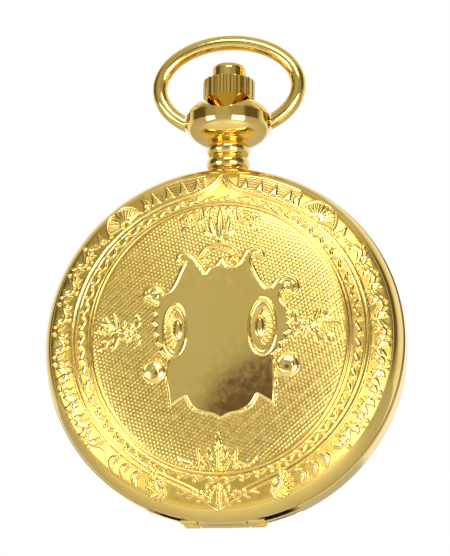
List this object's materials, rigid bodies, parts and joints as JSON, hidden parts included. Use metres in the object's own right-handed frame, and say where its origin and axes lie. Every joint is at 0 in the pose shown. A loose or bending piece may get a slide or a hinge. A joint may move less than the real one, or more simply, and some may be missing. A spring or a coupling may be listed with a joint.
{
  "type": "hunter-cased pocket watch",
  "caption": "Round hunter-cased pocket watch with hinged engraved covers, fluted crown with a release button, an oval bow, and a geared movement with hands inside.",
  "frame": {"origin": "middle of the flat on the back cover, the face the watch lies on", "axes": "+Z runs to the pendant and twelve o'clock, +X to three o'clock seen from the front, and the dial and front cover look along -Y"},
  "size_m": [0.047, 0.0129, 0.0661],
  "materials": {
    "gold_case": "bright gold plate, polished, with engraved relief on the covers",
    "gold_pins": "polished gold plate",
    "crystal_glass": "clear, polished",
    "spring_steel": "tempered spring steel",
    "steel": "polished steel",
    "blued_steel": "heat-blued steel",
    "movement_gilt": "matte gilt plates",
    "ruby": "polished synthetic ruby",
    "brass": "polished brass wheels",
    "enamel": "white enamel over copper"
  },
  "bodies": {
    "case": {"case_middle": "gold_case", "hinge_pins": "gold_pins", "bezel": "gold_case", "crystal": "crystal_glass", "cuvette_ring": "gold_case", "cuvette_glass": "crystal_glass", "lift_spring": "spring_steel", "pendant": "gold_case", "stem_sleeve": "steel", "main_plate": "movement_gilt", "barrel_bridge": "movement_gilt", "train_bridge": "movement_gilt", "balance_cock": "movement_gilt", "pallet_cock": "movement_gilt", "regulator": "steel", "movement_screws": "blued_steel", "jewels": "ruby", "winding_screws": "blued_steel", "click_spring": "spring_steel", "hairspring": "blued_steel", "dial": "enamel"},
    "front_cover_body": {"front_cover": "gold_case"},
    "back_cover_body": {"back_cover": "gold_case"},
    "bow_body": {"bow": "gold_case"},
    "winding_works": {"winding_pinion": "steel"},
    "crown_assembly": {"crown": "gold_case", "winding_stem": "steel"},
    "button_body": {"release_button": "gold_case"},
    "clutch": {"sliding_pinion": "steel"},
    "setting_lever_body": {"setting_lever": "steel"},
    "yoke_body": {"yoke": "steel"},
    "latch": {"latch_spring": "spring_steel"},
    "crown_wheel_body": {"crown_wheel": "steel"},
    "ratchet": {"ratchet_wheel": "steel", "barrel_arbor": "steel", "ratchet_screw": "blued_steel"},
    "click_body": {"click": "steel"},
    "barrel_body": {"barrel": "brass", "barrel_lid": "brass", "mainspring": "spring_steel"},
    "center_body": {"center_wheel": "brass", "center_pinion": "steel"},
    "third_body": {"third_wheel": "brass", "third_pinion": "steel"},
    "fourth_body": {"fourth_wheel": "brass", "fourth_pinion": "steel", "second_hand": "blued_steel"},
    "escape_body": {"escape_wheel": "steel", "escape_pinion": "steel"},
    "pallet_body": {"pallet_fork": "steel", "pallet_stones": "ruby"},
    "balance_body": {"balance_wheel": "brass", "balance_staff": "steel"},
    "minute_body": {"cannon_pinion": "steel", "minute_hand": "blued_steel"},
    "minute_wheel_body": {"minute_wheel": "brass"},
    "hour_body": {"hour_wheel": "brass", "hour_hand": "blued_steel"},
    "setting_wheel_body": {"setting_wheel": "steel"},
    "intermediate_wheel_body": {"intermediate_wheel": "steel"}
  },
  "joints": [
    {"name": "front_cover_hinge", "type": "hinge", "parent": "case", "child": "front_cover_body", "pos_m": [0, -0.00715, -0.0228], "axis": [1, 0, 0], "range_deg": [0, 100]},
    {"name": "back_cover_hinge", "type": "hinge", "parent": "case", "child": "back_cover_body", "pos_m": [0, -0.00445, -0.0228], "axis": [-1, 0, 0], "range_deg": [0, 100]},
    {"name": "bow_pivot", "type": "hinge", "parent": "case", "child": "bow_body", "pos_m": [0, -0.0058, 0.0304], "axis": [1, 0, 0], "range_deg": [-135, 135]},
    {"name": "crown_spin", "type": "hinge", "parent": "case", "child": "winding_works", "pos_m": [0, -0.0058, 0.034], "axis": [0, 0, 1], "continuous": true},
    {"name": "crown_pull", "type": "slide", "parent": "winding_works", "child": "crown_assembly", "axis": [0, 0, 1], "range_m": [0, 0.001]},
    {"name": "button_press", "type": "slide", "parent": "crown_assembly", "child": "button_body", "axis": [0, 0, -1], "range_m": [0, 0.0008], "stiffness_N_per_m": 300, "springref_m": -0.0005},
    {"name": "clutch_slide", "type": "slide", "parent": "winding_works", "child": "clutch", "axis": [0, 0, 1], "range_m": [-0.00061, 0]},
    {"name": "setting_lever_pivot", "type": "hinge", "parent": "case", "child": "setting_lever_body", "pos_m": [0.0042, -0.0083, 0.016], "axis": [0, 1, 0], "range_deg": [0, 14.1]},
    {"name": "yoke_pivot", "type": "hinge", "parent": "case", "child": "yoke_body", "pos_m": [0.0046, -0.0083, 0.0139], "axis": [0, 1, 0], "range_deg": [-7.6, 0]},
    {"name": "latch_slide", "type": "slide", "parent": "case", "child": "latch", "axis": [0, 0, -1], "range_m": [0, 0.00041]},
    {"name": "crown_wheel_spin", "type": "hinge", "parent": "case", "child": "crown_wheel_body", "pos_m": [0, -0.006, 0.0115], "axis": [0, 1, 0], "continuous": true},
    {"name": "ratchet_spin", "type": "hinge", "parent": "case", "child": "ratchet", "pos_m": [-0.00638, -0.006, 0.00635], "axis": [0, 1, 0], "continuous": true},
    {"name": "click_pivot", "type": "hinge", "parent": "case", "child": "click_body", "pos_m": [-0.01286, -0.0041, 0.00399], "axis": [0, 1, 0], "range_deg": [-8, 0], "stiffness_Nm_per_rad": 0.00002, "springref_deg": 5.73},
    {"name": "seconds_spin", "type": "hinge", "parent": "case", "child": "fourth_body", "pos_m": [0, -0.006, -0.009], "axis": [0, 1, 0], "continuous": true},
    {"name": "escape_wheel_spin", "type": "hinge", "parent": "case", "child": "escape_body", "pos_m": [-0.00399, -0.006, -0.01086], "axis": [0, 1, 0], "continuous": true},
    {"name": "third_wheel_spin", "type": "hinge", "parent": "case", "child": "third_body", "pos_m": [0.00414, -0.006, -0.00534], "axis": [0, 1, 0], "continuous": true},
    {"name": "center_wheel_spin", "type": "hinge", "parent": "case", "child": "center_body", "pos_m": [0, -0.006, 0], "axis": [0, 1, 0], "continuous": true},
    {"name": "barrel_spin", "type": "hinge", "parent": "case", "child": "barrel_body", "pos_m": [-0.00638, -0.006, 0.00635], "axis": [0, 1, 0], "continuous": true},
    {"name": "hands_set", "type": "hinge", "parent": "case", "child": "minute_body", "pos_m": [0, -0.006, 0], "axis": [0, 1, 0], "continuous": true},
    {"name": "minute_wheel_spin", "type": "hinge", "parent": "case", "child": "minute_wheel_body", "pos_m": [0.0015, -0.006, 0.0026], "axis": [0, 1, 0], "continuous": true},
    {"name": "hour_hand_spin", "type": "hinge", "parent": "case", "child": "hour_body", "pos_m": [0, -0.006, 0], "axis": [0, 1, 0], "continuous": true},
    {"name": "setting_wheel_spin", "type": "hinge", "parent": "case", "child": "setting_wheel_body", "pos_m": [0.00105, -0.006, 0.0067], "axis": [0, 1, 0], "continuous": true},
    {"name": "intermediate_wheel_spin", "type": "hinge", "parent": "case", "child": "intermediate_wheel_body", "pos_m": [0, -0.006, 0.0103], "axis": [0, 1, 0], "continuous": true},
    {"name": "pallet_pivot", "type": "hinge", "parent": "case", "child": "pallet_body", "pos_m": [-0.00671, -0.0068, -0.00959], "axis": [0, 1, 0], "range_deg": [-4, 4]},
    {"name": "balance_pivot", "type": "hinge", "parent": "case", "child": "balance_body", "pos_m": [-0.00988, -0.00575, -0.00811], "axis": [0, 1, 0], "range_deg": [-135, 135], "stiffness_Nm_per_rad": 0.000001}
  ],
  "couplings": [
    {"joint": "clutch_slide", "follows": "crown_pull", "ratio": -0.6},
    {"joint": "setting_lever_pivot", "follows": "crown_pull", "rad_per_m": 243.9},
    {"joint": "yoke_pivot", "follows": "crown_pull", "rad_per_m": -130.4},
    {"joint": "latch_slide", "follows": "button_press", "ratio": 0.5},
    {"joint": "crown_wheel_spin", "follows": "crown_spin", "ratio": -0.625},
    {"joint": "ratchet_spin", "follows": "crown_spin", "ratio": 0.4},
    {"joint": "escape_wheel_spin", "follows": "seconds_spin", "ratio": -10},
    {"joint": "third_wheel_spin", "follows": "seconds_spin", "ratio": -0.13333},
    {"joint": "center_wheel_spin", "follows": "seconds_spin", "ratio": 0.016667},
    {"joint": "barrel_spin", "follows": "seconds_spin", "ratio": -0.0020833},
    {"joint": "minute_wheel_spin", "follows": "hands_set", "ratio": -0.33333},
    {"joint": "hour_hand_spin", "follows": "hands_set", "ratio": 0.083333},
    {"joint": "setting_wheel_spin", "follows": "hands_set", "ratio": 0.4},
    {"joint": "intermediate_wheel_spin", "follows": "hands_set", "ratio": -0.4}
  ]
}
